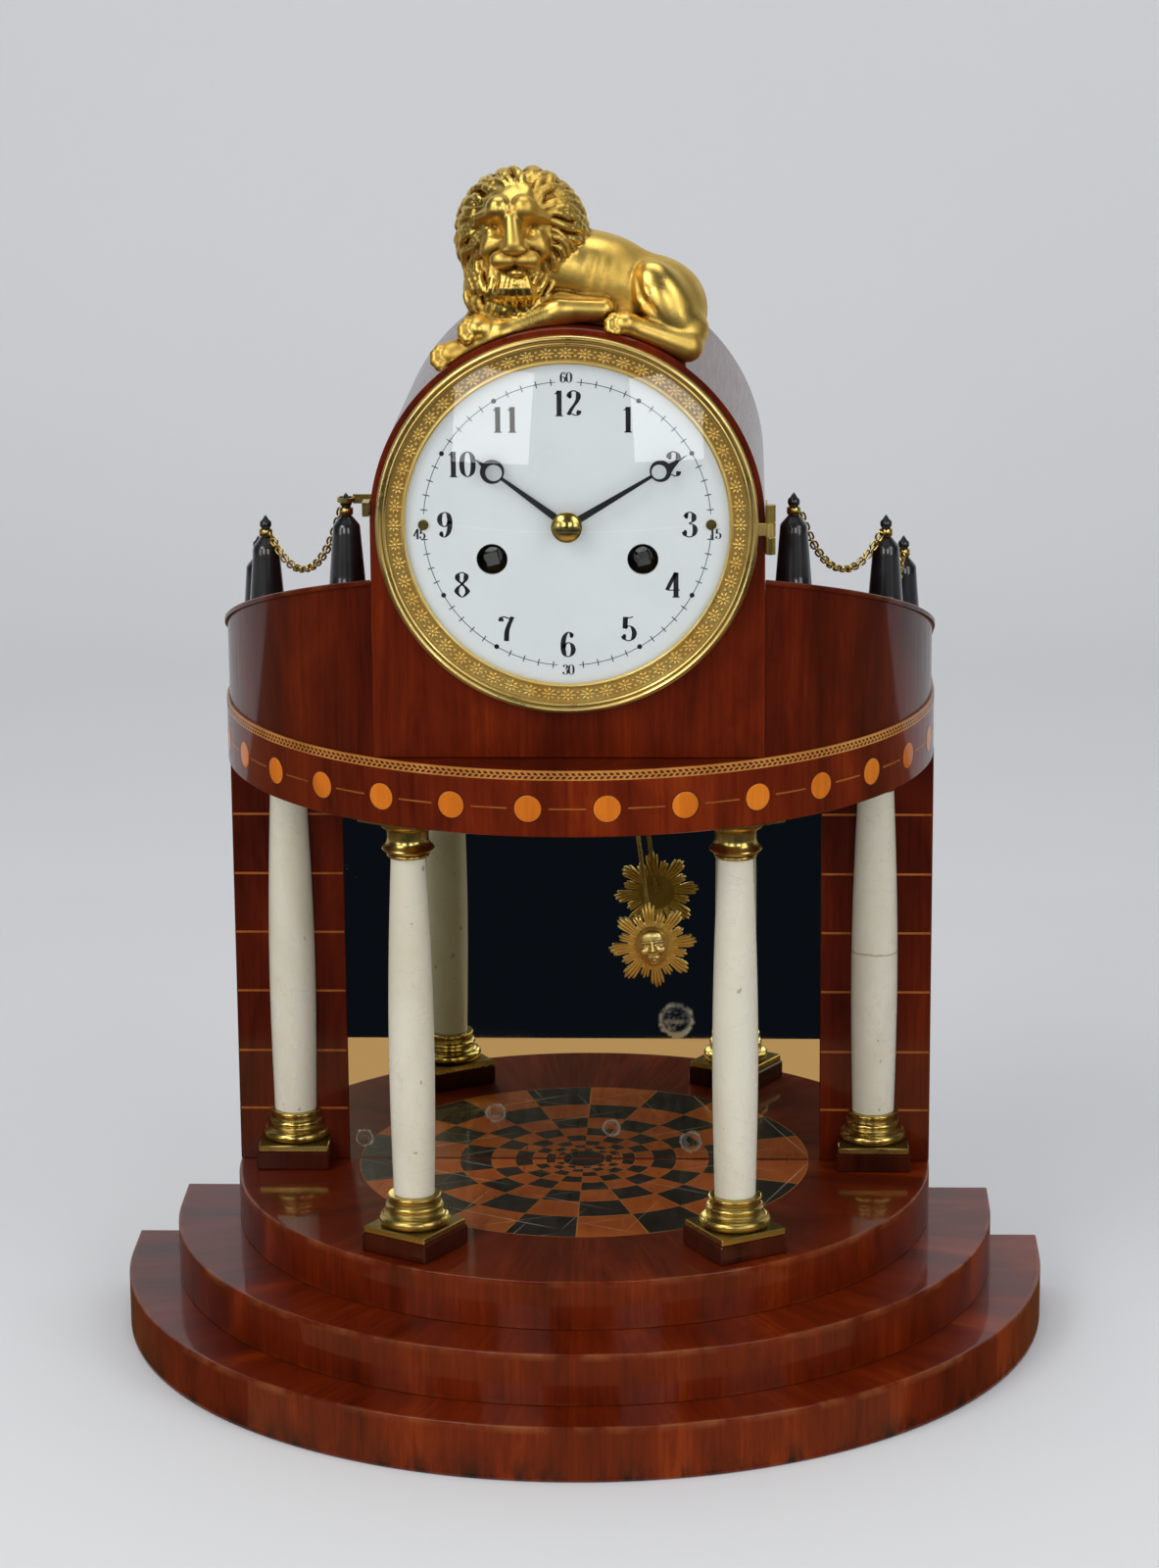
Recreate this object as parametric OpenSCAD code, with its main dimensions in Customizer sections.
// Half-round portico clock: stepped base, four columns, mirror back, drum attic and round-headed clock case.
// The plan is struck from one centre. The front faces -Y, the flat back faces +Y, and the part stands on Z = 0.

/* [Base] */
// Tread of the bottom step
bottom_tread = 18; // [14:0.5:28]
// Height of the bottom step
bottom_step_h = 19; // [12:0.5:28]
// Tread of the middle step
middle_tread = 22; // [15:0.5:30]
// Height of the middle step
middle_step_h = 18; // [12:0.5:28]
// How far the top step, which is the portico floor, stands out from the frieze
top_step_margin = 0.3; // [0.1:0.1:6]
// Height of the top step
top_step_h = 17; // [12:0.5:28]
// Distance from the plan's centre to the flat back
back_depth = 20; // [18:0.5:28]
// Space between the chequered floor rosette and the pilasters
rosette_margin = 4; // [3:0.5:24]
// Thickness of the floor tiles
tile_t = 1; // [0.6:0.1:2]
// Sectors in the half rosette
tile_sectors = 10; // [6:2:14]
// Rings of tiles in the rosette
tile_rings = 8; // [4:1:9]
// Radius of each ring as a share of the next ring outwards
tile_ring_ratio = 0.745; // [0.7:0.005:0.8]

/* [Portico] */
// Clear height from floor to ceiling
portico_h = 152; // [130:1:175]
// Width of each pilaster
pilaster_w = 39; // [34:1:42]
// Thickness of the mirror plate
mirror_t = 3; // [2:0.5:5]
// Depth of the mirror face behind the pilaster faces
mirror_recess = 1; // [0.5:0.5:3]
// Thickness of the board behind the mirror
back_panel_t = 9; // [6:0.5:12]
// Distance from the frieze's face in to the axes of the front columns
column_inset = 17.7; // [15.5:0.1:22]
// Angle of the front columns from the middle of the front
front_column_angle = 31; // [28:0.5:35]
// Distance from the pilasters' outer sides in to the axes of the half columns
side_column_inset = 20; // [18:0.5:22]
// Side of the square wooden plinths
plinth_w = 26; // [24:0.5:28]
// Height of the wooden plinths
plinth_h = 6.5; // [4:0.5:10]
// Height of the brass column bases
base_h = 13; // [11:0.5:16]
// Height of the brass capitals
capital_h = 15; // [13:0.5:20]
// Radius at the foot of a front column shaft
shaft_foot_r = 6.9; // [6:0.1:7.6]
// Radius at the head of a front column shaft
shaft_head_r = 5.8; // [5:0.1:6.4]
// Swelling of a column shaft at its middle
shaft_swell = 1.25; // [0.4:0.05:1.6]
// Added radius of the half column shafts
side_shaft_extra = 0.5; // [0:0.1:0.9]

/* [Entablature] */
// Radius of the frieze
frieze_r = 122.7; // [112:0.1:135]
// Height of the frieze
frieze_h = 22; // [18:0.5:28]
// Thickness of the frieze wall
frieze_t = 8; // [6:0.5:10]
// Thickness of the ceiling board
ceiling_t = 4; // [3:0.5:6]
// Height of the chevron stringing, which edges the ledge board
stringing_h = 3.1; // [2.2:0.1:4]
// Thickness of the inlaid stringing and dots
inlay_t = 0.8; // [0.5:0.1:1.2]
// Radius of the inlaid dots
dot_r = 4.4; // [3:0.1:5.4]
// Angle between neighbouring dots
dot_step = 12; // [11:0.5:13]
// Number of inlaid dots
dot_count = 14; // [10:2:14]

/* [Attic] */
// How far the attic's wall stands back from the frieze
attic_setback = 1; // [0.2:0.1:2.5]
// Thickness of the attic wall
attic_wall_t = 6; // [4:0.5:7]
// Height of the attic wall at the plan's centre line
attic_h = 22.4; // [18:0.2:28]
// Slope of the roof, which rises towards the front
roof_slope = 19.3; // [14:0.1:21]
// Thickness of the roof board measured upright
roof_t = 1.8; // [1.2:0.1:3]
// Overhang of the roof board in front of the attic wall
roof_lip = 1; // [0.4:0.1:2]

/* [Clock case] */
// Half the width of the clock case, also the radius of its arch
case_half_w = 63.5; // [57:0.1:71]
// Height of the case below the foot of a full round
case_foot_h = 13.5; // [10:0.5:22]
// Thickness of the case's front board
case_front_t = 8; // [6:0.5:10]
// Thickness of the case's bent shell
case_shell_t = 4; // [3:0.2:4.4]
// Thickness of the case's back board
case_back_t = 8; // [8:0.5:10]
// Radius of the door in the case's back
door_r = 45; // [40:0.5:46]
// Thickness of the back door
door_t = 4; // [3:0.5:4]

/* [Dial and bezel] */
// Width of case front left beside the bezel
bezel_margin = 2; // [1.6:0.1:3]
// Width of the bezel from its outer edge to the sight
bezel_w = 9.5; // [8.5:0.1:11]
// Width of dial hidden behind the bezel
dial_cover = 2.6; // [2:0.1:3.2]
// Thickness of the enamel dial
dial_t = 1.4; // [1:0.1:2]
// Rise of the domed glass
glass_rise = 9; // [8:0.5:12]
// Thickness of the glass
glass_t = 1.5; // [1:0.1:2]
// Place of the winding squares beside the middle, as a share of the plates' radius
winding_x_share = 0.52717; // [0.51:0.001:0.55]
// Place of the winding squares below the middle, as a share of the plates' radius
winding_drop_share = 0.24565; // [0.22:0.001:0.26]
// Radius of the winding holes
winding_hole_r = 5; // [4.2:0.1:6]
// Space between the tip of the hour hand and the sight
hour_hand_short = 15.5; // [13:0.5:20]
// Space between the tip of the minute hand and the sight
minute_hand_short = 7; // [3:0.5:11]
// Angle of the hour hand, clockwise from the top
hour_angle = -53.5; // [-180:0.5:180]
// Angle of the minute hand, clockwise from the top
minute_angle = 59; // [-180:0.5:180]

/* [Movement] */
// Space between the movement plates and the dial's edge
plate_margin = 8.6; // [6.6:0.1:9.6]
// Thickness of the movement plates
plate_t = 2.5; // [2:0.1:3]
// Length of the movement pillars
pillar_l = 35; // [33:0.5:38]
// Radius of the movement pillars
pillar_r = 3; // [2:0.1:3.4]
// Radius of a spring barrel as a share of the plates' radius
barrel_share = 0.337; // [0.26:0.001:0.345]
// Radius of the winding arbors
winding_arbor_r = 3; // [2.6:0.1:3.2]
// Radius of the wheel arbors
wheel_arbor_r = 1.2; // [1:0.1:1.4]
// Radius of the centre arbor
centre_arbor_r = 1.8; // [1.5:0.1:2]
// Radius of the bell
bell_r = 28; // [22:0.5:30]

/* [Pendulum] */
// Height of the pendulum's pivot above the dial's centre
pivot_rise = 38; // [37:0.2:39]
// Length from the pivot to the middle of the sun bob
pendulum_l = 201; // [180:1:212]
// Distance of the pendulum in front of the plan's centre line
pendulum_y = 32; // [28:0.5:36]
// Angle at which the pendulum is caught, towards the right
swing_angle = 7.3; // [0:0.1:8]
// Radius of the sun bob over its rays
bob_r = 15.5; // [12:0.5:17]
// Radius of the bob's face
face_r = 5.8; // [4:0.2:7]
// Number of long rays on the bob
ray_count = 16; // [8:1:24]

/* [Ornament] */
// Height of an obelisk over its finial
obelisk_h = 32; // [26:0.5:38]
// Radius at the foot of an obelisk
obelisk_foot_r = 6.1; // [5:0.1:6.6]
// Radius at the shoulder of an obelisk
obelisk_head_r = 4.4; // [3.4:0.1:5]
// Distance from the attic's face in to the axes of the obelisks
obelisk_inset = 10.7; // [9:0.1:13]
// Distance from the side of the case to the axes of the front obelisks
front_obelisk_gap = 9.32; // [8.4:0.02:14]
// Place of the middle obelisks, as a share of the way from the front ones to the sides
middle_obelisk_share = 0.592; // [0.48:0.001:0.68]
// Distance of the rear obelisks behind the plan's centre line
rear_obelisk_y = 8; // [4:0.5:11]
// Wire diameter of a chain link
link_wire = 0.7; // [0.5:0.05:0.9]
// Inner length of a chain link
link_inner_l = 2.6; // [2.3:0.1:3.4]
// Chain length as a multiple of the straight span
chain_slack = 1.22; // [1.12:0.01:1.4]
// Height of the lion above the arch
lion_h = 50.5; // [44:0.5:56]

/* [Fits] */
// Radial clearance of a shaft that turns in a bore
running_fit = 0.06; // [0.02:0.01:0.1]
// Gap between pieces that are set in or laid beside one another
joint_gap = 0.06; // [0.03:0.01:0.12]
// Gap between pieces that move past one another
moving_gap = 0.4; // [0.3:0.05:0.8]

/* [Hidden] */

// Roundness of curved surfaces, and of the few blended ornaments
$fn = 96;
blend_fn = 18;
// Overshoot of a cutting tool past the face that it cuts
cut = 1;

// Radii and places that follow the frieze
top_step_r = frieze_r + top_step_margin;
middle_step_r = top_step_r + middle_tread;
bottom_step_r = middle_step_r + bottom_tread;
rosette_r = top_step_r - pilaster_w - rosette_margin;
column_circle_r = frieze_r - column_inset;
side_column_x = top_step_r - side_column_inset;
attic_r = frieze_r - attic_setback;

// Radii and places that follow the clock case
dial_rise = case_half_w + case_foot_h;
bezel_r = case_half_w - bezel_margin;
sight_r = bezel_r - bezel_w;
dial_r = sight_r + dial_cover;
hour_hand_l = sight_r - hour_hand_short;
minute_hand_l = sight_r - minute_hand_short;
plate_r = dial_r - plate_margin;
winding_x = plate_r * winding_x_share;
winding_drop = plate_r * winding_drop_share;
barrel_r = plate_r * barrel_share;
obelisk_circle_r = attic_r - obelisk_inset;
front_obelisk_angle = asin((case_half_w + front_obelisk_gap) / obelisk_circle_r);
middle_obelisk_angle = front_obelisk_angle + middle_obelisk_share * (90 - front_obelisk_angle);

// Levels
middle_z = bottom_step_h;
top_z = middle_z + middle_step_h;
floor_z = top_z + top_step_h;
ceiling_z = floor_z + portico_h;
ledge_z = ceiling_z + frieze_h;
dial_z = ledge_z + dial_rise;
arch_top_z = dial_z + case_half_w;
origin_y = (bottom_step_r - back_depth) / 2;

// Plan
pilaster_in_x = top_step_r - pilaster_w;
case_front_y = -sqrt(frieze_r * frieze_r - case_half_w * case_half_w);
roof_k = tan(roof_slope);
case_in_r = case_half_w - case_shell_t;
frieze_in_r = frieze_r - frieze_t;
attic_in_r = attic_r - attic_wall_t;
tall = arch_top_z + lion_h;

// Columns
base_plate_w = plinth_w - 1.2;
base_plate_h = 2.4;
shaft_z = floor_z + plinth_h + base_h;
shaft_l = portico_h - plinth_h - base_h - capital_h;
abacus_w = plinth_w - 2;
abacus_h = 2.4;
shaft_steps = 14;

// Depths in the dial frame, where 0 is the front of the case and positive is towards the viewer
band_z = 0.3;
dial_front_z = -0.5;
dial_back_z = dial_front_z - dial_t;
ring_t = 2;
ring_z = -case_front_t;
front_plate_z = ring_z - ring_t;
front_plate_back_z = front_plate_z - plate_t;
back_plate_z = front_plate_back_z - pillar_l;
back_plate_back_z = back_plate_z - plate_t;
pendulum_z = -(-pendulum_y - case_front_y);
case_hole_r = dial_r + 1.2;
glass_r = bezel_r - 3.4;
glass_z = band_z + 1.5;

// Gearing
gear_pressure_angle = 20;
gear_addendum = 0.62;
gear_dedendum = 0.95;
gear_backlash = 0.1;
wheel_t = 1.5;
pinion_t = 2.4;
great_teeth = 72;
strike_teeth = 68;
centre_pinion_teeth = 12;
great_distance = sqrt(winding_x * winding_x + winding_drop * winding_drop);
great_module = 2 * great_distance / (great_teeth + centre_pinion_teeth);
going_direction = atan2(-winding_drop, winding_x);
cannon_teeth = 12;
minute_teeth = 36;
cannon_module = 0.5;
motion_distance = cannon_module * (cannon_teeth + minute_teeth) / 2;
motion_direction = 225;
minute_pinion_teeth = 10;
hour_teeth = 40;
hour_module = 2 * motion_distance / (minute_pinion_teeth + hour_teeth);
centre_teeth = 60;
third_pinion_teeth = 12;
centre_module = 0.5;
third_distance = centre_module * (centre_teeth + third_pinion_teeth) / 2;
third_direction = 120;
third_teeth = 60;
escape_pinion_teeth = 12;
third_module = 0.45;
escape_distance = third_module * (third_teeth + escape_pinion_teeth) / 2;
third_at = third_distance * [cos(third_direction), sin(third_direction)];
escape_at = [0, third_at[1] + sqrt(escape_distance * escape_distance - third_at[0] * third_at[0])];
escape_direction = atan2(escape_at[1] - third_at[1], escape_at[0] - third_at[0]);
escape_r = 5.6;
motion_at = motion_distance * [cos(motion_direction), sin(motion_direction)];

// Layers of the train, front to back
hour_wheel_z = dial_back_z - 3.2;
minute_wheel_z = hour_wheel_z - pinion_t;
centre_wheel_z = front_plate_back_z - 1.7 - wheel_t;
great_wheel_z = centre_wheel_z - 1.5 - wheel_t;
barrel_front_z = great_wheel_z - 0.5;
barrel_back_z = back_plate_z + 3;
third_wheel_z = great_wheel_z - 9;
escape_wheel_z = back_plate_z + 4;

// Hands
hour_hand_z = 1.4;
minute_hand_z = 3.2;
hand_t = 0.6;
hour_pipe_r = 3.2;
hand_boss_r = 3.6;
cap_r = 5;

// Hinges
hinge_pin_r = 0.9;
hinge_knuckle_r = 1.6;
hinge_l = 16;
hinge_x = case_half_w + hinge_knuckle_r + 0.1;
hinge_z = 1.2 + hinge_knuckle_r;
hinge_drop = 1;
door_hole_r = door_r + 0.6;
door_axis_y = back_depth - hinge_knuckle_r - 0.1;
door_axis_x = -door_hole_r - hinge_knuckle_r - 0.8;
door_y = back_depth - 3 - door_t;

// Pillars of the movement: angle of each
pillar_angles = [35, 145, 255, 285];
pillar_circle_r = plate_r - pillar_r - 3;

// Bell and hammer in the dial frame
bell_at = [-16, 0];
bell_t = 1.6;
bell_post_r = 2;
bell_z = pendulum_z - 14;
hammer_at = [22, -22];
hammer_head_r = 3;
hammer_z = bell_z - 4;

// Obelisk profile
finial_h = 4.8;
neck_h = 2.6;
neck_r = 1.6;
shoulder_h = 3.4;
obelisk_body_h = obelisk_h - finial_h - neck_h - shoulder_h;
obelisk_places = [
    for (side = [-1, 1]) each [
        obelisk_circle_r * [side * sin(front_obelisk_angle), -cos(front_obelisk_angle)],
        obelisk_circle_r * [side * sin(middle_obelisk_angle), -cos(middle_obelisk_angle)],
        [side * (obelisk_circle_r + 1), rear_obelisk_y]
    ]
];
necks_per_side = 3;

// Chain
link_gap = 0.45;
link_end_gap = 0.05;
link_rise = 0.7;
link_pitch = link_inner_l - link_gap;
link_inner_w = 1.5;
neck_ring_r = neck_r + joint_gap;
neck_ring_wire = 0.6;

// Height of the roof's upper face at a point of the plan
function roof_z(y) = ledge_z + attic_h - roof_k * y;

// Height of the ring round an obelisk's neck
function neck_z(p) = roof_z(p[1]) + obelisk_body_h + shoulder_h + neck_h / 2;

// Involute of an angle in degrees
function involute(a) = tan(a) * 180 / PI - a;

// Half the angle that a tooth spans at a radius
function tooth_half(teeth, module_size, radius) =
    let (
        pitch_r = teeth * module_size / 2,
        base_r = pitch_r * cos(gear_pressure_angle),
        at = acos(min(1, base_r / max(radius, base_r))),
        slack = gear_backlash / 2 / pitch_r * 180 / PI
    )
    90 / teeth - slack - involute(at) + involute(gear_pressure_angle);

// Outline of a gear
function gear_points(teeth, module_size) =
    let (
        pitch_r = teeth * module_size / 2,
        root_r = pitch_r - gear_dedendum * module_size,
        tip_r = pitch_r + gear_addendum * module_size,
        radii = [root_r, pitch_r, tip_r]
    )
    [
        for (i = [0 : teeth - 1])
            for (side = [-1, 1])
                for (k = [0 : 2])
                    let (
                        radius = radii[side < 0 ? k : 2 - k],
                        a = 360 * i / teeth + side * tooth_half(teeth, module_size, radius)
                    )
                    radius * [cos(a), sin(a)]
    ];

// Turn of a gear so that it meshes with one turned by first_turn, which lies the other way along a direction
function mesh_turn(first_turn, first_teeth, teeth, direction) =
    direction + 180 + (0.5 - (first_turn - direction) * first_teeth / 360) * 360 / teeth;

// Sag parameter of a catenary with a given span and level chain length, by halving an interval
function catenary_a(span, level_l, low, high, steps) =
    let (mid = (low + high) / 2)
    steps == 0 ? mid :
    2 * mid * sinh(span / 2 / mid) > level_l
        ? catenary_a(span, level_l, mid, high, steps - 1)
        : catenary_a(span, level_l, low, mid, steps - 1);
function sinh(x) = (exp(x) - exp(-x)) / 2;
function asinh(x) = ln(x + sqrt(x * x + 1));
function cosh(x) = (exp(x) + exp(-x)) / 2;

// Half-round block with straight returns to the back
module half_disc(r, h, back) {
    intersection() {
        cylinder(r = r, h = h);
        translate([-r, -r, 0]) cube([2 * r, r, h]);
    }
    translate([-r, 0, 0]) cube([2 * r, back, h]);
}

// Half-round wall with straight returns, open at the back
module half_ring(r_out, r_in, h, back) {
    difference() {
        half_disc(r_out, h, back);
        translate([0, 0, -cut]) half_disc(r_in, h + 2 * cut, back + cut);
    }
}

// Everything below a plane that slopes as the roof does, drop being measured upright under the roof's face
module below_roof(drop) {
    translate([0, 0, roof_z(0) - drop])
        multmatrix([[1, 0, 0, 0], [0, 1, 0, 0], [0, -roof_k, 1, 0], [0, 0, 0, 1]])
            translate([-bottom_step_r, -bottom_step_r, -tall]) cube([2 * bottom_step_r, 2 * bottom_step_r, tall]);
}

// Puts the plan's centre where the part's footprint is centred on the origin
module place() { translate([0, origin_y, 0]) children(); }

// Dial frame: origin at the dial's centre on the case's front, +X right, +Y up, +Z towards the viewer
module dial_frame() { place() translate([0, case_front_y, dial_z]) rotate([90, 0, 0]) children(); }

// The spot of a front column, side being -1 on the left, with its own -Y pointing outwards
module front_column(side) {
    place() rotate([0, 0, side * front_column_angle]) translate([0, -column_circle_r, floor_z]) children();
}

// The spot of a half column planted on a pilaster
module side_column(side) {
    place() translate([side * side_column_x, 0, floor_z]) intersection() {
        children();
        translate([-plinth_w, -plinth_w, -cut]) cube([2 * plinth_w, plinth_w, portico_h + 2 * cut]);
    }
}

// A piece repeated on the front columns and, cut in half, on the side columns
module on_columns() {
    for (side = [-1, 1]) {
        front_column(side) children();
        side_column(side) children();
    }
}

module bottom_step() { color("#7a3216") place() half_disc(bottom_step_r, bottom_step_h, back_depth); }

module middle_step() {
    color("#7d3417") place() translate([0, 0, middle_z]) half_disc(middle_step_r, middle_step_h, back_depth);
}

module top_step() {
    color("#803618") place() difference() {
        translate([0, 0, top_z]) half_disc(top_step_r, top_step_h, back_depth);
        translate([0, 0, floor_z - tile_t]) half_disc(rosette_r, tile_t + cut, 0.001);
    }
}

function ring_r(k) = rosette_r * pow(tile_ring_ratio, k);

// Tiles of one colour: those whose ring and sector add to an odd or an even number
module floor_tiles(parity) {
    sector = 180 / tile_sectors;
    place() translate([0, 0, floor_z - tile_t])
        for (k = [0 : tile_rings - 1])
            for (s = [0 : tile_sectors - 1])
                if ((k + s) % 2 == parity) {
                    gap_a = joint_gap / ring_r(k + 1) * 180 / PI;
                    rotate([0, 0, 180 + s * sector + gap_a])
                        rotate_extrude(angle = sector - 2 * gap_a)
                            translate([ring_r(k + 1) + joint_gap / 2, 0])
                                square([ring_r(k) - ring_r(k + 1) - joint_gap, tile_t]);
                }
}

module floor_light_tiles() { color("#a8571f") floor_tiles(1); }

module floor_dark_tiles() {
    color("#1b1412") {
        floor_tiles(0);
        place() translate([0, 0, floor_z - tile_t])
            half_disc(ring_r(tile_rings) - joint_gap, tile_t, 0.001);
    }
}

module pilasters() {
    color("#5c2412") place()
        for (side = [0, 1]) mirror([side, 0, 0])
            translate([pilaster_in_x, 0, floor_z]) cube([pilaster_w, back_depth, portico_h]);
}

module mirror_plate() {
    color("#39424c") place() translate([-pilaster_in_x + joint_gap, mirror_recess, floor_z])
        cube([2 * (pilaster_in_x - joint_gap), mirror_t, portico_h]);
}

module back_panel() {
    color("#5a3a22") place() translate([-pilaster_in_x + joint_gap, mirror_recess + mirror_t, floor_z])
        cube([2 * (pilaster_in_x - joint_gap), back_panel_t, portico_h]);
}

module column_plinths() {
    color("#4a1b0f") on_columns() translate([-plinth_w / 2, -plinth_w / 2, 0]) cube([plinth_w, plinth_w, plinth_h]);
}

// Turned brass base: square plate, large torus, hollow, small torus and collar
module base_turning() {
    torus_r = (base_plate_w / 2 - 0.4) - 1.9;
    small_z = base_plate_h + 6.4;
    translate([-base_plate_w / 2, -base_plate_w / 2, 0]) cube([base_plate_w, base_plate_w, base_plate_h]);
    rotate_extrude() {
        square([torus_r, base_plate_h + 4.4]);
        translate([torus_r, base_plate_h + 1.9]) circle(r = 1.9, $fn = 48);
        difference() {
            square([torus_r, small_z]);
            translate([torus_r + 0.5, base_plate_h + 5.4]) circle(r = 1.5, $fn = 48);
        }
        square([shaft_foot_r + 1.7, base_h]);
        translate([shaft_foot_r + 1.5, small_z]) circle(r = 1.2, $fn = 48);
        translate([shaft_foot_r + 1.6, base_h - 0.8]) circle(r = 0.5, $fn = 48);
    }
}

module column_bases() { color("#a8862c") on_columns() translate([0, 0, plinth_h]) base_turning(); }

// Radius of a shaft at a share of its height: a straight taper with a swelling
function shaft_radius(t, extra) =
    shaft_foot_r + (shaft_head_r - shaft_foot_r) * t + shaft_swell * sin(180 * t) + extra;

module shaft_turning(extra) {
    outline = [for (i = [0 : shaft_steps]) let (t = i / shaft_steps) [shaft_radius(t, extra), shaft_l * t]];
    translate([0, 0, plinth_h + base_h]) rotate_extrude() polygon(concat([[0, 0]], outline, [[0, shaft_l]]));
}

module front_shafts() { color("#e6e0cf") for (side = [-1, 1]) front_column(side) shaft_turning(0); }

module side_shafts() { color("#dcd8d0") for (side = [-1, 1]) side_column(side) shaft_turning(side_shaft_extra); }

// Turned brass capital: astragal, sharp flaring ring, neck, bowl and square abacus
module capital_turning() {
    neck = shaft_head_r + 1.1;
    bowl_z = capital_h - abacus_h - 3;
    rotate_extrude() {
        square([neck, capital_h - abacus_h]);
        translate([shaft_head_r + 0.6, 0.7]) circle(r = 0.7, $fn = 48);
        polygon([[0, 1.2], [neck, 1.2], [neck + 1.9, 2.9], [neck + 1.3, 3.8], [neck, 5.4], [0, 5.4]]);
        polygon([[0, bowl_z], [neck, bowl_z], [neck + 2.4, bowl_z + 2.2], [neck + 2.4, bowl_z + 3], [0, bowl_z + 3]]);
    }
    translate([-abacus_w / 2, -abacus_w / 2, capital_h - abacus_h]) cube([abacus_w, abacus_w, abacus_h]);
}

module column_capitals() {
    color("#9c7b28") on_columns() translate([0, 0, portico_h - capital_h]) capital_turning();
}

// Upright slot through which the pendulum swings
module pendulum_slot(z, h) {
    reach = (pivot_rise + dial_z - z) * tan(swing_angle) + 5;
    translate([-reach, -pendulum_y - 5, z - cut]) cube([2 * reach, 10, h + 2 * cut]);
}

module ceiling_board() {
    color("#6b2a12") place() difference() {
        translate([0, 0, ceiling_z]) half_disc(frieze_in_r - joint_gap, ceiling_t, back_depth - case_back_t);
        pendulum_slot(ceiling_z, ceiling_t);
    }
}

// The inlaid dots, each a radial plug grown by a margin
module dot_plugs(margin) {
    mid_z = ceiling_z + (frieze_h - stringing_h) / 2;
    for (i = [0 : dot_count - 1])
        rotate([0, 0, (i - (dot_count - 1) / 2) * dot_step])
            translate([0, -frieze_in_r, mid_z]) rotate([90, 0, 0]) cylinder(r = dot_r + margin, h = frieze_t + cut);
}

module frieze_band() {
    color("#7a2c12") place() difference() {
        translate([0, 0, ceiling_z]) half_ring(frieze_r, frieze_in_r, frieze_h - stringing_h, back_depth);
        intersection() {
            dot_plugs(joint_gap);
            translate([0, 0, ceiling_z]) half_ring(frieze_r + cut, frieze_r - inlay_t, frieze_h, back_depth);
        }
    }
}

module frieze_dots() {
    color("#c8742a") place() intersection() {
        dot_plugs(0);
        translate([0, 0, ceiling_z]) half_ring(frieze_r, frieze_r - inlay_t + joint_gap, frieze_h, back_depth);
    }
}

module chevron_stringing() {
    color("#b98a4a") place() translate([0, 0, ledge_z - stringing_h])
        half_ring(frieze_r, frieze_r - inlay_t, stringing_h, back_depth);
}

module ledge_board() {
    color("#6b2a12") place() difference() {
        translate([0, 0, ledge_z - stringing_h])
            half_disc(frieze_r - inlay_t - joint_gap, stringing_h, back_depth);
        pendulum_slot(ledge_z - stringing_h, stringing_h);
    }
}

// The upright space of the clock case, grown by a margin
module case_lane(margin) {
    half = case_half_w + margin;
    translate([-half, -bottom_step_r, 0]) cube([2 * half, 2 * bottom_step_r, tall]);
}

module attic_wall() {
    color("#641f10") place() difference() {
        intersection() {
            translate([0, 0, ledge_z]) half_ring(attic_r, attic_in_r, tall, back_depth);
            below_roof(roof_t);
        }
        case_lane(joint_gap);
    }
}

module attic_roof() {
    color("#561c10") place() difference() {
        intersection() {
            translate([0, 0, ledge_z]) half_disc(attic_r + roof_lip, tall, back_depth);
            below_roof(0);
        }
        below_roof(roof_t);
        case_lane(joint_gap);
    }
}

module attic_back_boards() {
    color("#5a3a22") place() {
        translate([-frieze_in_r + joint_gap, back_depth - case_back_t, ceiling_z])
            cube([2 * (frieze_in_r - joint_gap), case_back_t, frieze_h - stringing_h]);
        intersection() {
            for (side = [0, 1]) mirror([side, 0, 0])
                translate([case_half_w + joint_gap, back_depth - case_back_t, ledge_z])
                    cube([attic_in_r - case_half_w - 2 * joint_gap, case_back_t, tall]);
            below_roof(roof_t);
        }
    }
}

// Round-headed upright block that stands on the ledge, from the dial frame's depth z0 back by a depth
module arch_block(half_w, z0, depth) {
    translate([0, 0, z0 - depth]) cylinder(r = half_w, h = depth);
    translate([-half_w, -dial_rise, z0 - depth]) cube([2 * half_w, dial_rise, depth]);
}

case_depth = back_depth - case_front_y;

module case_front_board() {
    color("#7c2f14") dial_frame() difference() {
        arch_block(case_half_w, 0, case_front_t);
        translate([0, 0, -case_front_t - cut]) cylinder(r = case_hole_r, h = case_front_t + 2 * cut);
    }
}

module case_shell() {
    color("#7a2c14") dial_frame() difference() {
        arch_block(case_half_w, -case_front_t, case_depth - case_front_t);
        arch_block(case_in_r, 0, case_depth + cut);
        translate([-case_in_r, -dial_rise - cut, -case_depth - cut])
            cube([2 * case_in_r, dial_rise, case_depth + 2 * cut]);
    }
}

// Board that closes the case, with the hole for the door and the pin on which the door swings
module case_back_board() {
    slot_l = hinge_l + 2 * moving_gap;
    slot_w = hinge_knuckle_r + moving_gap;
    axis_z = -case_depth + back_depth - door_axis_y;
    color("#5a3a22") dial_frame() {
        difference() {
            arch_block(case_in_r - joint_gap, -case_depth + case_back_t, case_back_t);
            translate([0, 0, -case_depth - cut]) cylinder(r = door_hole_r, h = case_back_t + 2 * cut);
            translate([door_axis_x - slot_w, -slot_l / 2, -case_depth - cut])
                cube([slot_w - door_axis_x - door_r + 4, slot_l, axis_z + case_depth + slot_w + cut]);
        }
        translate([door_axis_x, -slot_l / 2 - 3, axis_z])
            rotate([-90, 0, 0]) cylinder(r = hinge_pin_r, h = slot_l + 6);
    }
}

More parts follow.
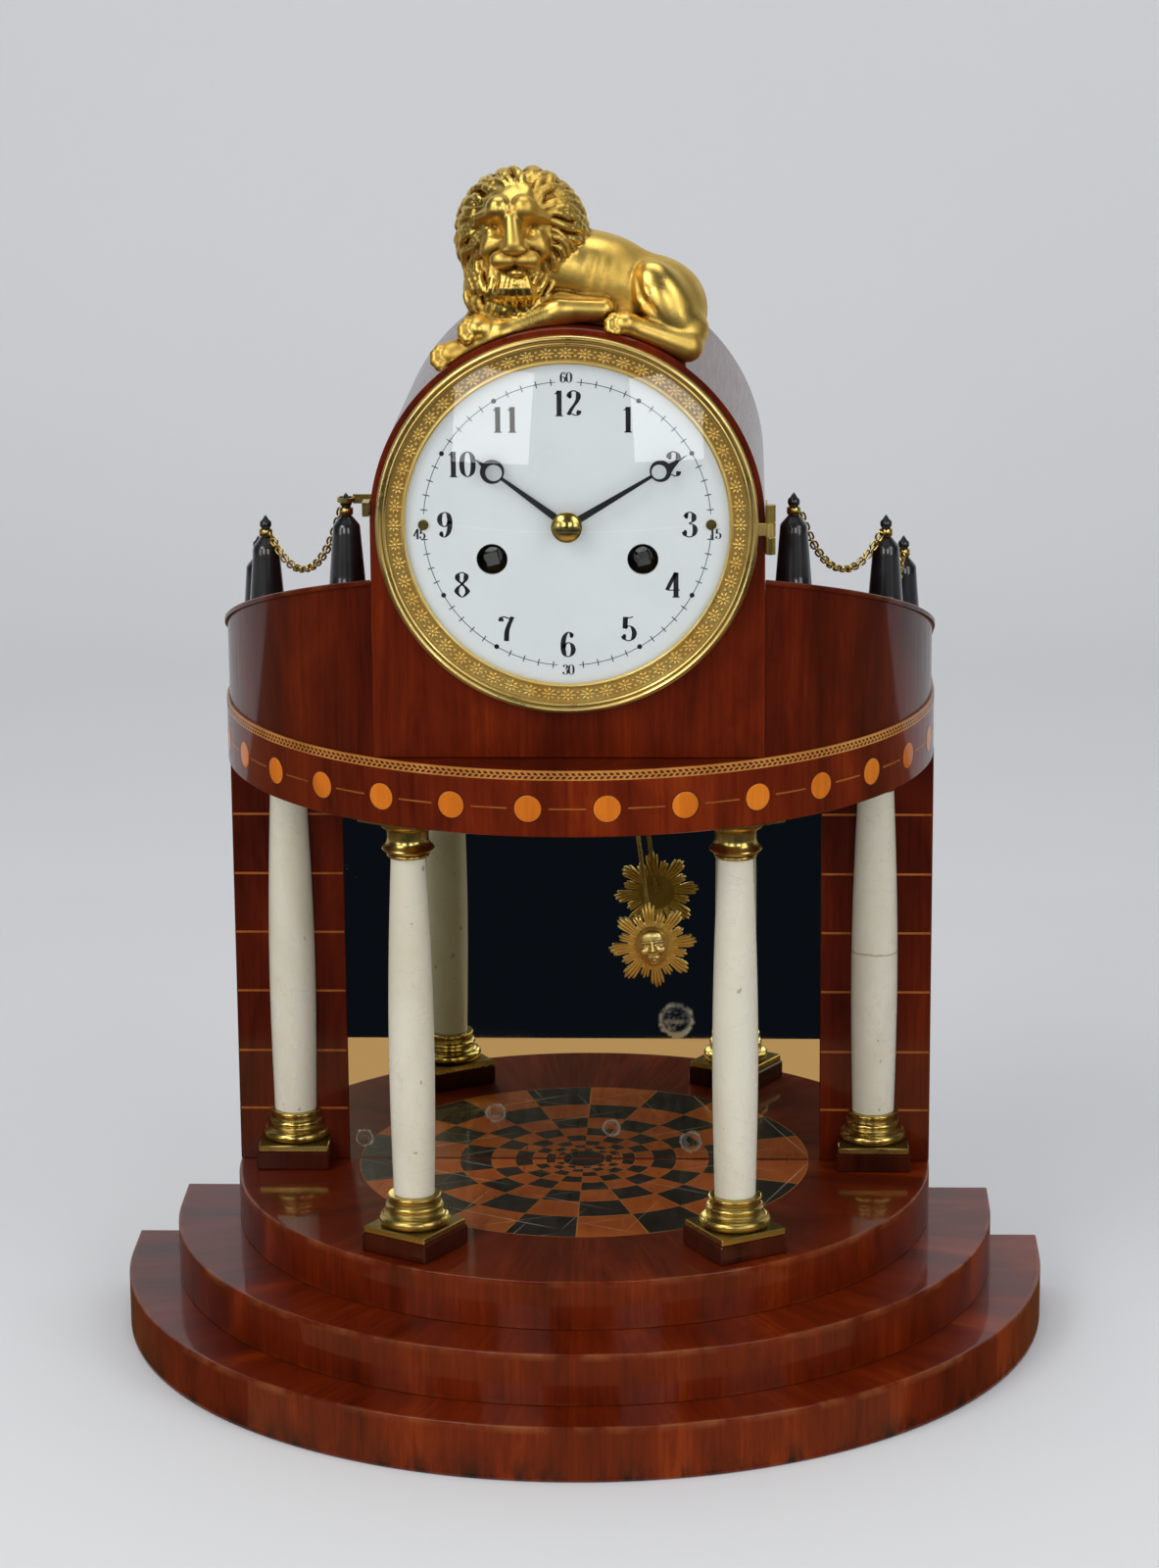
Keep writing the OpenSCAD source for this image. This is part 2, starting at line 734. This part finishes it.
// One obelisk standing at the origin, from below the roof line upwards
module obelisk_turning() {
    sink = obelisk_foot_r;
    foot = obelisk_foot_r + (obelisk_foot_r - obelisk_head_r) * sink / obelisk_body_h;
    bud_r = finial_h * 0.42;
    neck_top = obelisk_body_h + shoulder_h + neck_h;
    rotate_extrude() {
        polygon([
            [0, -sink], [foot, -sink], [obelisk_head_r, obelisk_body_h],
            [neck_r, obelisk_body_h + shoulder_h], [neck_r, neck_top], [0, neck_top]
        ]);
        intersection() {
            translate([0, neck_top + bud_r * 0.8]) circle(r = bud_r, $fn = 48);
            translate([0, neck_top - 0.2]) square([bud_r, bud_r * 1.6]);
        }
        polygon([[0, neck_top], [bud_r * 0.8, neck_top + bud_r * 1.28], [0, neck_top + finial_h]]);
    }
}

module obelisks() {
    color("#14131a") place() difference() {
        for (p = obelisk_places) translate([p[0], p[1], roof_z(p[1])]) obelisk_turning();
        below_roof(0);
    }
}

module obelisk_necks() {
    color("#b08d35") place()
        for (p = obelisk_places)
            translate([p[0], p[1], neck_z(p)])
                rotate_extrude() translate([neck_ring_r, -neck_h / 2 + joint_gap])
                    square([neck_ring_wire, neck_h - 2 * joint_gap]);
}

// Long oval in the plane, lying along X
module oval(straight, width) {
    square([straight, width], center = true);
    for (side = [-1, 1]) translate([side * straight / 2, 0]) circle(d = width, $fn = 24);
}

// One oval chain link lying along X, flat in the XY plane
module chain_link() {
    straight = link_inner_l - link_inner_w;
    linear_extrude(link_wire, center = true) difference() {
        oval(straight, link_inner_w + 2 * link_wire);
        oval(straight, link_inner_w);
    }
}

// A chain hanging as a catenary between two points
module chain_swag(from, to) {
    flat = [to[0] - from[0], to[1] - from[1]];
    span = norm(flat);
    rise = to[2] - from[2];
    count = round(chain_slack * sqrt(span * span + rise * rise) / link_pitch);
    chain_l = count * link_pitch;
    a = catenary_a(span, sqrt(chain_l * chain_l - rise * rise), span / 40, span * 20, 40);
    low_x = (span - a * ln((chain_l + rise) / (chain_l - rise))) / 2;
    s_low = a * sinh(low_x / a);
    translate(from) rotate([0, 0, atan2(flat[1], flat[0])])
        for (i = [0 : count - 1]) {
            s = (i + 0.5) * link_pitch - s_low;
            x = low_x + a * asinh(s / a);
            z = a * (cosh((x - low_x) / a) - cosh(low_x / a));
            translate([x, 0, z]) rotate([0, -atan2(s, a), 0]) rotate([45 + 90 * (i % 2), 0, 0]) chain_link();
        }
}

// Point on the ring of one obelisk that looks towards another
function chain_end(p, q) =
    let (
        d = [q[0] - p[0], q[1] - p[1]],
        overhang = (link_inner_l - link_pitch) / 2 + link_wire,
        reach = neck_ring_r + neck_ring_wire + overhang + link_end_gap
    )
    [p[0] + d[0] / norm(d) * reach, p[1] + d[1] / norm(d) * reach, neck_z(p) + link_rise];

module chain_swags() {
    color("#b8913a") place()
        for (i = [0, 1, 3, 4])
            chain_swag(
                chain_end(obelisk_places[i], obelisk_places[i + 1]),
                chain_end(obelisk_places[i + 1], obelisk_places[i])
            );
}

// Flat brass strip from the left front finial to the side of the case
module chain_hook() {
    p = obelisk_places[0];
    strip_z = roof_z(p[1]) + obelisk_h - finial_h * 0.75;
    strip_h = 3;
    ring_in = finial_h * 0.42 + 0.3;
    start = p[0] + ring_in;
    color("#c9a545") place() {
        translate([start, p[1] - 0.35, strip_z]) cube([-case_half_w - joint_gap - start, 0.7, strip_h]);
        translate([p[0], p[1], strip_z + 0.6]) rotate_extrude() translate([ring_in, 0]) square([0.6, 1.4]);
    }
}

// Two balls joined by a smooth skin, given in the lion's own frame
module limb(p, pr, q, qr) {
    hull() {
        translate(p) sphere(r = pr, $fn = blend_fn);
        translate(q) sphere(r = qr, $fn = blend_fn);
    }
}

// Couchant lion across the arch, head turned to the viewer; its frame sits on the arch top
module lion() {
    s = lion_h / 50.5;
    lion_y = case_front_y + 20;
    color("#c79a2e") place() difference() {
        translate([0, lion_y, arch_top_z]) scale(s) {
            limb([-6, 2, 18], 15, [12, 4, 16], 13.6);
            limb([12, 4, 16], 13.6, [26, 4, 10.5], 13.2);
            limb([26, 4, 10.5], 13.2, [33.5, 4, 4.5], 13.8);
            limb([33.5, 3, 4.5], 13.7, [35.5, 3, -4], 11.4);
            limb([-15, -2, 26], 19.5, [-15, 2, 28], 19);
            limb([-15, -4, 36], 14.2, [-14, -9, 20], 14.5);
            limb([-14, -8, 14], 13, [-12, -10, 7], 6);
            limb([-15.5, -13, 31], 8.8, [-15.8, -16, 24], 7.4);
            limb([-15.8, -15, 34], 3.4, [-15.8, -19.6, 25.5], 3.2);
            for (side = [-1, 1]) limb([-15.8 + side * 3.6, -15, 38.4], 3.8, [-15.8 + side * 6, -14, 37], 3.2);
            limb([-15.8, -15, 20], 5.6, [-15, -13, 9], 4.6);
            limb([-24, -8, 12], 9, [-27, -10, 3], 6);
            limb([-8, -12, 2.5], 5, [-38, -13, -10], 4.3);
            limb([-38, -13, -10], 4.3, [-40.5, -14, -11.5], 3.6);
            limb([-8, -11, 4], 5, [10, -11, 4], 3.6);
            limb([-24, -4, 6], 6, [-29, -13, -1], 4.8);
            limb([28.5, -6, 13.5], 8.6, [36, -6.5, -2], 10);
            limb([37, -11, -7], 5.2, [18, -14, 0.5], 4.4);
            limb([30, 13, -4], 6, [36, 8, -6], 8);
        }
        translate([0, 0, dial_z]) rotate([90, 0, 0])
            cylinder(r = case_half_w + 0.15, h = 2 * bottom_step_r, center = true);
    }
}

module bezel_ring() {
    tongue_h = hinge_l / 3 - 2 * moving_gap;
    color("#c2983a") dial_frame() {
        rotate_extrude() {
            translate([glass_r, band_z]) square([bezel_r - glass_r, 2.2]);
            translate([bezel_r - 1.1, band_z + 2.2]) circle(r = 1.1, $fn = 48);
            translate([glass_r + 0.7, band_z + 2.2]) circle(r = 0.7, $fn = 48);
        }
        difference() {
            union() {
                translate([hinge_x, -hinge_drop - tongue_h / 2, hinge_z])
                    rotate([-90, 0, 0]) cylinder(r = hinge_knuckle_r, h = tongue_h);
                translate([bezel_r - 1.5, -hinge_drop - tongue_h / 2, hinge_z - 1])
                    cube([hinge_x - bezel_r + 1.5, tongue_h, 1.2]);
            }
            translate([hinge_x, -hinge_l, hinge_z]) rotate([-90, 0, 0])
                cylinder(r = hinge_pin_r + running_fit, h = 2 * hinge_l);
        }
    }
}

module bezel_band() {
    color("#b58a2f") dial_frame() rotate_extrude() {
        polygon([
            [sight_r, band_z], [glass_r - joint_gap, band_z], [glass_r - joint_gap, band_z + 1.5],
            [sight_r + 1.6, band_z + 0.9], [sight_r, band_z + 0.9]
        ]);
        translate([sight_r + 0.7, band_z + 0.9]) circle(r = 0.6, $fn = 48);
    }
}

module bezel_glass() {
    rim_r = glass_r - joint_gap;
    ball_r = (rim_r * rim_r + glass_rise * glass_rise) / 2 / glass_rise;
    color([0.85, 0.92, 0.95, 0.3]) dial_frame() translate([0, 0, glass_z]) intersection() {
        difference() {
            translate([0, 0, glass_rise - ball_r]) sphere(r = ball_r);
            translate([0, 0, glass_rise - ball_r]) sphere(r = ball_r - glass_t);
        }
        translate([0, 0, 0.02]) cylinder(r = rim_r, h = glass_rise + cut);
    }
}

// Hinge leaf on the side of the case with its outer knuckles and the pin
module bezel_hinge_leaf() {
    third = hinge_l / 3;
    color("#b58a2f") dial_frame() translate([0, -hinge_drop, 0]) {
        difference() {
            translate([case_half_w, -hinge_l / 2, -6]) cube([0.7, hinge_l, 6 + hinge_z - 0.2]);
            translate([case_half_w - cut, -third / 2 - moving_gap, hinge_z - hinge_knuckle_r - moving_gap])
                cube([0.7 + 2 * cut, third + 2 * moving_gap, 6]);
        }
        for (y = [-hinge_l / 2, hinge_l / 2 - third])
            translate([hinge_x, y, hinge_z]) rotate([-90, 0, 0]) cylinder(r = hinge_knuckle_r, h = third);
        translate([hinge_x, -hinge_l / 2, hinge_z]) rotate([-90, 0, 0]) cylinder(r = hinge_pin_r, h = hinge_l);
    }
}

// Turn-button that keeps the bezel shut, on the left side of the case
module bezel_catch() {
    color("#4a3a1c") dial_frame() translate([-case_half_w - 2.2, 3, -5]) cube([2.2, 4.5, 6.4]);
}

// Points where the dial is screwed to the movement ring
dial_screw_x = dial_r - 8.4;
dial_screw_r = 1;

module dial_plate() {
    color("#eceff0") dial_frame() difference() {
        translate([0, 0, dial_back_z]) cylinder(r = dial_r, h = dial_t);
        translate([0, 0, dial_back_z - cut]) cylinder(r = hour_pipe_r + moving_gap, h = dial_t + 2 * cut);
        for (side = [-1, 1]) {
            translate([side * winding_x, -winding_drop, dial_back_z - cut])
                cylinder(r = winding_hole_r, h = dial_t + 2 * cut);
            translate([side * dial_screw_x, 0, dial_back_z - cut])
                cylinder(r = dial_screw_r + joint_gap, h = dial_t + 2 * cut);
        }
    }
}

module dial_screws() {
    color("#a88a3a") dial_frame() for (side = [-1, 1]) translate([side * dial_screw_x, 0, 0]) {
        translate([0, 0, dial_front_z]) cylinder(r = 1.7, h = 0.6);
        translate([0, 0, ring_z]) cylinder(r = dial_screw_r, h = dial_front_z - ring_z);
        translate([0, 0, ring_z]) cylinder(r = 2.2, h = dial_back_z - ring_z);
    }
}

module movement_ring() {
    color("#b08c3c") dial_frame() translate([0, 0, front_plate_z]) difference() {
        cylinder(r = case_in_r - 0.5, h = ring_t);
        translate([0, 0, -cut]) cylinder(r = plate_r - 2, h = ring_t + 2 * cut);
    }
}

// Bores of the train in a movement plate
module train_bores(z, h) {
    translate([0, 0, z - cut]) {
        cylinder(r = centre_arbor_r + running_fit, h = h + 2 * cut);
        for (side = [-1, 1]) translate([side * winding_x, -winding_drop, 0])
            cylinder(r = winding_arbor_r + running_fit, h = h + 2 * cut);
        translate([third_at[0], third_at[1], 0]) cylinder(r = wheel_arbor_r + running_fit, h = h + 2 * cut);
        translate([escape_at[0], escape_at[1], 0]) cylinder(r = wheel_arbor_r + running_fit, h = h + 2 * cut);
        translate([0, pivot_rise, 0]) cylinder(r = wheel_arbor_r + running_fit, h = h + 2 * cut);
    }
}

module front_plate() {
    color("#b8954a") dial_frame() {
        difference() {
            translate([0, 0, front_plate_back_z]) cylinder(r = plate_r, h = plate_t);
            train_bores(front_plate_back_z, plate_t);
        }
        translate([motion_at[0], motion_at[1], front_plate_z])
            cylinder(r = wheel_arbor_r, h = hour_wheel_z + 1.8 - front_plate_z);
    }
}

module back_plate() {
    color("#b8954a") dial_frame() difference() {
        translate([0, 0, back_plate_back_z]) cylinder(r = plate_r, h = plate_t);
        train_bores(back_plate_back_z, plate_t);
        translate([hammer_at[0], hammer_at[1], back_plate_back_z - cut])
            cylinder(r = wheel_arbor_r + running_fit, h = plate_t + 2 * cut);
    }
}

module plate_pillars() {
    color("#a88a44") dial_frame()
        for (a = pillar_angles) rotate([0, 0, a]) translate([pillar_circle_r, 0, back_plate_z]) {
            cylinder(r = pillar_r, h = pillar_l);
            translate([0, 0, pillar_l * 0.42]) cylinder(r = pillar_r + 0.7, h = pillar_l * 0.16);
        }
}

// A toothed wheel or pinion
module gear(teeth, module_size, h) { linear_extrude(h) polygon(gear_points(teeth, module_size)); }

// Turns of the wheels, so that every pair is in mesh
going_turn = mesh_turn(0, centre_pinion_teeth, great_teeth, going_direction);
minute_turn = mesh_turn(0, cannon_teeth, minute_teeth, motion_direction);
hour_turn = mesh_turn(0, minute_pinion_teeth, hour_teeth, motion_direction + 180);
third_turn = mesh_turn(0, centre_teeth, third_pinion_teeth, third_direction);
escape_turn = mesh_turn(0, third_teeth, escape_pinion_teeth, escape_direction);

module centre_arbor() {
    color("#9a9a94") dial_frame() {
        translate([0, 0, back_plate_back_z]) cylinder(r = centre_arbor_r, h = minute_hand_z - back_plate_back_z);
        translate([0, 0, minute_hand_z]) cylinder(r = centre_arbor_r - 0.4, h = hand_t);
        translate([0, 0, great_wheel_z - 0.4]) gear(centre_pinion_teeth, great_module, pinion_t);
        translate([0, 0, centre_wheel_z]) gear(centre_teeth, centre_module, wheel_t);
        translate([0, 0, minute_wheel_z - 0.3]) gear(cannon_teeth, cannon_module, wheel_t + 0.5);
    }
}

// Outline of a moon hand pointing up, with an eccentric ring near its tip
module hand_outline(length, ring_at, ring_r, bore_r) {
    stem = 0.75;
    hole_r = ring_r * 0.68;
    difference() {
        union() {
            circle(r = hand_boss_r);
            polygon([[-stem * 1.6, 0], [stem * 1.6, 0], [stem * 0.7, ring_at], [-stem * 0.7, ring_at]]);
            translate([0, ring_at]) circle(r = ring_r, $fn = 48);
            polygon([[-stem, ring_at + ring_r * 0.7], [stem, ring_at + ring_r * 0.7], [0, length]]);
        }
        circle(r = bore_r);
        translate([0, ring_at - ring_r * 0.16]) circle(r = hole_r, $fn = 48);
    }
}

module minute_hand() {
    color("#101014") dial_frame() translate([0, 0, minute_hand_z]) rotate([0, 0, -minute_angle])
        linear_extrude(hand_t) hand_outline(minute_hand_l, minute_hand_l * 0.78, 3.5, centre_arbor_r - 0.4 + joint_gap);
}

module hand_cap() {
    color("#9d8136") dial_frame() translate([0, 0, minute_hand_z + hand_t]) {
        cylinder(r = cap_r, h = 0.8);
        translate([0, 0, 0.8]) intersection() {
            translate([0, 0, -cap_r]) sphere(r = cap_r * 1.34);
            cylinder(r = cap_r * 0.89, h = cap_r);
        }
    }
}

module hour_wheel() {
    color("#b8954a") dial_frame() difference() {
        union() {
            translate([0, 0, hour_wheel_z]) rotate([0, 0, hour_turn]) gear(hour_teeth, hour_module, wheel_t);
            translate([0, 0, hour_wheel_z]) cylinder(r = hour_pipe_r, h = hour_hand_z - hour_wheel_z);
            translate([0, 0, hour_hand_z]) cylinder(r = hour_pipe_r - 0.6, h = hand_t);
        }
        translate([0, 0, hour_wheel_z - cut])
            cylinder(r = centre_arbor_r + running_fit, h = hour_hand_z + hand_t - hour_wheel_z + 2 * cut);
    }
}

module hour_hand() {
    color("#101014") dial_frame() translate([0, 0, hour_hand_z]) rotate([0, 0, -hour_angle])
        linear_extrude(hand_t) hand_outline(hour_hand_l, hour_hand_l * 0.81, 3.9, hour_pipe_r - 0.6 + joint_gap);
}

module minute_wheel() {
    color("#b8954a") dial_frame() translate([motion_at[0], motion_at[1], 0]) difference() {
        union() {
            translate([0, 0, minute_wheel_z]) rotate([0, 0, minute_turn]) gear(minute_teeth, cannon_module, wheel_t);
            translate([0, 0, minute_wheel_z]) gear(minute_pinion_teeth, hour_module, hour_wheel_z + wheel_t - minute_wheel_z);
        }
        translate([0, 0, minute_wheel_z - cut]) cylinder(r = wheel_arbor_r + running_fit, h = 2 * pinion_t + 2 * cut);
    }
}

// Spring barrel with its great wheel, running on the winding arbor
module barrel(teeth, turn) {
    difference() {
        union() {
            translate([0, 0, barrel_back_z]) cylinder(r = barrel_r, h = barrel_front_z - barrel_back_z);
            translate([0, 0, barrel_front_z]) cylinder(r = winding_arbor_r + 2, h = great_wheel_z - barrel_front_z);
            translate([0, 0, great_wheel_z]) rotate([0, 0, turn]) gear(teeth, great_module, wheel_t);
        }
        translate([0, 0, back_plate_z]) cylinder(r = winding_arbor_r + running_fit, h = pillar_l);
    }
}

module going_barrel() {
    color("#b8954a") dial_frame() translate([winding_x, -winding_drop, 0]) barrel(great_teeth, going_turn);
}

module strike_barrel() {
    color("#b8954a") dial_frame() translate([-winding_x, -winding_drop, 0]) barrel(strike_teeth, 0);
}

// Winding arbor with a square end that shows in the dial's hole
module winding_arbor() {
    square_w = winding_arbor_r * 1.38;
    square_z = dial_back_z - 4;
    translate([0, 0, back_plate_back_z]) cylinder(r = winding_arbor_r, h = square_z - back_plate_back_z);
    rotate([0, 0, 15]) translate([-square_w / 2, -square_w / 2, square_z])
        cube([square_w, square_w, dial_front_z - 0.3 - square_z]);
}

module going_arbor() { color("#a5a5a0") dial_frame() translate([winding_x, -winding_drop, 0]) winding_arbor(); }
module strike_arbor() { color("#a5a5a0") dial_frame() translate([-winding_x, -winding_drop, 0]) winding_arbor(); }

module third_wheel() {
    color("#b8954a") dial_frame() translate([third_at[0], third_at[1], 0]) {
        translate([0, 0, back_plate_back_z])
            cylinder(r = wheel_arbor_r, h = front_plate_z - back_plate_back_z);
        translate([0, 0, centre_wheel_z - 0.4]) rotate([0, 0, third_turn])
            gear(third_pinion_teeth, centre_module, wheel_t + 0.8);
        translate([0, 0, third_wheel_z]) gear(third_teeth, third_module, wheel_t);
    }
}

module escape_wheel() {
    teeth = 15;
    pitch = 360 / teeth;
    color("#b8954a") dial_frame() translate([escape_at[0], escape_at[1], 0]) {
        translate([0, 0, back_plate_back_z])
            cylinder(r = wheel_arbor_r, h = front_plate_z - back_plate_back_z);
        translate([0, 0, third_wheel_z - 0.5]) rotate([0, 0, escape_turn])
            gear(escape_pinion_teeth, third_module, wheel_t + 1);
        translate([0, 0, escape_wheel_z]) linear_extrude(wheel_t) polygon([
            for (i = [0 : teeth - 1]) each [
                escape_r * [cos(i * pitch), sin(i * pitch)],
                escape_r * 0.72 * [cos((i + 0.2) * pitch), sin((i + 0.2) * pitch)],
                escape_r * 0.72 * [cos((i + 0.75) * pitch), sin((i + 0.75) * pitch)]
            ]
        ]);
    }
}

// Swings its children about the pendulum's pivot to the angle at which the pendulum is caught
module swung() { dial_frame() translate([0, pivot_rise, 0]) rotate([0, 0, swing_angle]) children(); }

cock_cheek_t = 2;
cock_half_gap = 3;
pivot_pin_r = 1;
rod_r = 0.8;
bob_t = 1.4;

// Bracket behind the back plate that carries the pendulum's pivot pin between two cheeks
module suspension_cock() {
    color("#b8954a") dial_frame() translate([0, pivot_rise, 0]) {
        translate([-5, 4, pendulum_z - cock_half_gap - cock_cheek_t])
            cube([10, 3.5, back_plate_back_z - pendulum_z + cock_half_gap + cock_cheek_t]);
        for (z = [pendulum_z - cock_half_gap - cock_cheek_t, pendulum_z + cock_half_gap])
            translate([0, 0, z]) difference() {
                translate([-4, -3, 0]) cube([8, 7.5, cock_cheek_t]);
                translate([0, 0, -cut]) cylinder(r = pivot_pin_r + running_fit, h = cock_cheek_t + 2 * cut);
            }
    }
}

// Anchor with its arbor, pallets and the crutch that drives the rod
module anchor() {
    pallet_r = pivot_rise - escape_at[1];
    fork_y = -24;
    rod_gap = 1 + moving_gap;
    crutch_z = back_plate_back_z - 2.4;
    color("#8f8f8a") swung() {
        translate([0, 0, crutch_z]) cylinder(r = wheel_arbor_r, h = front_plate_z - crutch_z);
        translate([-4.6, -1.5, escape_wheel_z]) cube([9.2, 3, wheel_t]);
        for (side = [-1, 1]) translate([side * 4 - 0.6, -2.2, escape_wheel_z]) cube([1.2, 2.4, wheel_t]);
        translate([-1.2, fork_y, crutch_z]) cube([2.4, -fork_y + 2.4, 1.4]);
        for (side = [-1, 1])
            translate([side > 0 ? rod_gap : -rod_gap - 1.2, fork_y, pendulum_z - 1.5])
                cube([1.2, 2.4, crutch_z + 1.4 - pendulum_z + 1.5]);
        translate([-rod_gap - 1.2, fork_y, crutch_z]) cube([2 * rod_gap + 2.4, 2.4, 1.4]);
    }
}

module pendulum_rod() {
    color("#a88f4a") swung() {
        translate([0, 0, pendulum_z - cock_half_gap - cock_cheek_t])
            cylinder(r = pivot_pin_r, h = 2 * (cock_half_gap + cock_cheek_t));
        translate([-2.2, -3, pendulum_z - 0.8]) cube([4.4, 5.2, 1.6]);
        translate([0, -pendulum_l, pendulum_z]) rotate([-90, 0, 0]) cylinder(r = rod_r, h = pendulum_l - 2);
    }
}

// One pointed ray that starts inside the disc and is a little thinner than it
module sun_ray(root, tip, half_angle, thinner) {
    foot = root * 0.94;
    translate([0, 0, thinner]) linear_extrude(bob_t - 2 * thinner) polygon([
        foot * [cos(half_angle), -sin(half_angle)],
        [tip, 0],
        foot * [cos(half_angle), sin(half_angle)]
    ]);
}

// Sun bob in front of the rod's end: domed face on a disc with long pointed rays and short ones between
module sun_bob() {
    step = 360 / ray_count;
    ray_root = face_r * 1.25;
    color("#c59a35") swung() translate([0, -pendulum_l, pendulum_z + rod_r + joint_gap]) {
        cylinder(r = ray_root, h = bob_t);
        for (i = [0 : ray_count - 1]) {
            rotate([0, 0, i * step]) sun_ray(ray_root, bob_r, 0.25 * step, 0.15);
            rotate([0, 0, (i + 0.5) * step]) sun_ray(ray_root, bob_r * 0.74, 0.19 * step, 0.3);
        }
        translate([0, 0, bob_t / 2]) rotate_extrude() polygon([
            [0, 0],
            for (a = [0 : 12 : 84]) face_r * [cos(a), sin(a)],
            [0, face_r * sin(84)]
        ]);
    }
}

// Bell behind the movement, open towards it
module bell() {
    depth = bell_r * 0.55;
    color("#9a8a5a") dial_frame() translate([bell_at[0], bell_at[1], bell_z]) difference() {
        intersection() {
            sphere(r = bell_r);
            translate([0, 0, -depth]) cylinder(r = bell_r + cut, h = depth);
        }
        intersection() {
            sphere(r = bell_r - bell_t);
            translate([0, 0, -depth + bell_t]) cylinder(r = bell_r, h = bell_r);
        }
        translate([0, 0, -bell_r]) cylinder(r = bell_post_r - 0.6 + joint_gap, h = bell_r);
    }
}

// Post that carries the bell, shouldered under it and closed by a round nut
module bell_stand() {
    seat_z = bell_z - bell_r * 0.55 + bell_t;
    color("#8f8f8a") dial_frame() translate([bell_at[0], bell_at[1], 0]) {
        translate([0, 0, seat_z]) cylinder(r = bell_post_r, h = back_plate_back_z - seat_z);
        translate([0, 0, seat_z - bell_t - 2]) cylinder(r = bell_post_r - 0.6, h = bell_t + 2);
        translate([0, 0, seat_z - bell_t - 2]) cylinder(r = bell_post_r + 1, h = 2);
    }
}

// Hammer that strikes the rim of the bell
module hammer() {
    head_at = [bell_at[0] + bell_r + hammer_head_r + 0.5, bell_at[1]];
    reach = norm(head_at - hammer_at);
    color("#8f8f8a") dial_frame() translate([hammer_at[0], hammer_at[1], 0]) {
        translate([0, 0, hammer_z - 1.5]) cylinder(r = wheel_arbor_r, h = back_plate_z - hammer_z + 1.5);
        rotate([0, 0, atan2(head_at[1] - hammer_at[1], head_at[0] - hammer_at[0])]) {
            translate([0, -1, hammer_z - 1]) cube([reach, 2, 2]);
            translate([reach, 0, hammer_z]) sphere(r = hammer_head_r);
        }
    }
}

// Round door in the back, with its hinge barrel on one side and a small knob on the other
module back_door() {
    face_z = -case_depth + back_depth - door_y - door_t;
    axis_z = -case_depth + back_depth - door_axis_y;
    color("#6b4426") dial_frame() difference() {
        union() {
            translate([0, 0, face_z]) cylinder(r = door_r, h = door_t);
            translate([door_axis_x, -hinge_l / 2, axis_z])
                rotate([-90, 0, 0]) cylinder(r = hinge_knuckle_r, h = hinge_l);
            translate([door_axis_x, -hinge_l / 2, axis_z - hinge_pin_r])
                cube([-door_axis_x - door_r + 3, hinge_l, face_z - axis_z + hinge_pin_r]);
            translate([door_r - 8, 0, -case_depth + 0.3]) cylinder(r = 3, h = face_z + case_depth - 0.3);
        }
        translate([door_axis_x, -hinge_l, axis_z])
            rotate([-90, 0, 0]) cylinder(r = hinge_pin_r + running_fit, h = 2 * hinge_l);
    }
}

bottom_step();
middle_step();
top_step();
floor_light_tiles();
floor_dark_tiles();
pilasters();
mirror_plate();
back_panel();
column_plinths();
column_bases();
front_shafts();
side_shafts();
column_capitals();
ceiling_board();
frieze_band();
frieze_dots();
chevron_stringing();
ledge_board();
attic_wall();
attic_roof();
attic_back_boards();
case_front_board();
case_shell();
case_back_board();
obelisks();
obelisk_necks();
chain_swags();
chain_hook();
lion();
bezel_ring();
bezel_band();
bezel_glass();
bezel_hinge_leaf();
bezel_catch();
dial_plate();
dial_screws();
movement_ring();
front_plate();
back_plate();
plate_pillars();
centre_arbor();
minute_hand();
hand_cap();
hour_wheel();
hour_hand();
minute_wheel();
going_barrel();
going_arbor();
strike_barrel();
strike_arbor();
third_wheel();
escape_wheel();
suspension_cock();
anchor();
pendulum_rod();
sun_bob();
bell();
bell_stand();
hammer();
back_door();
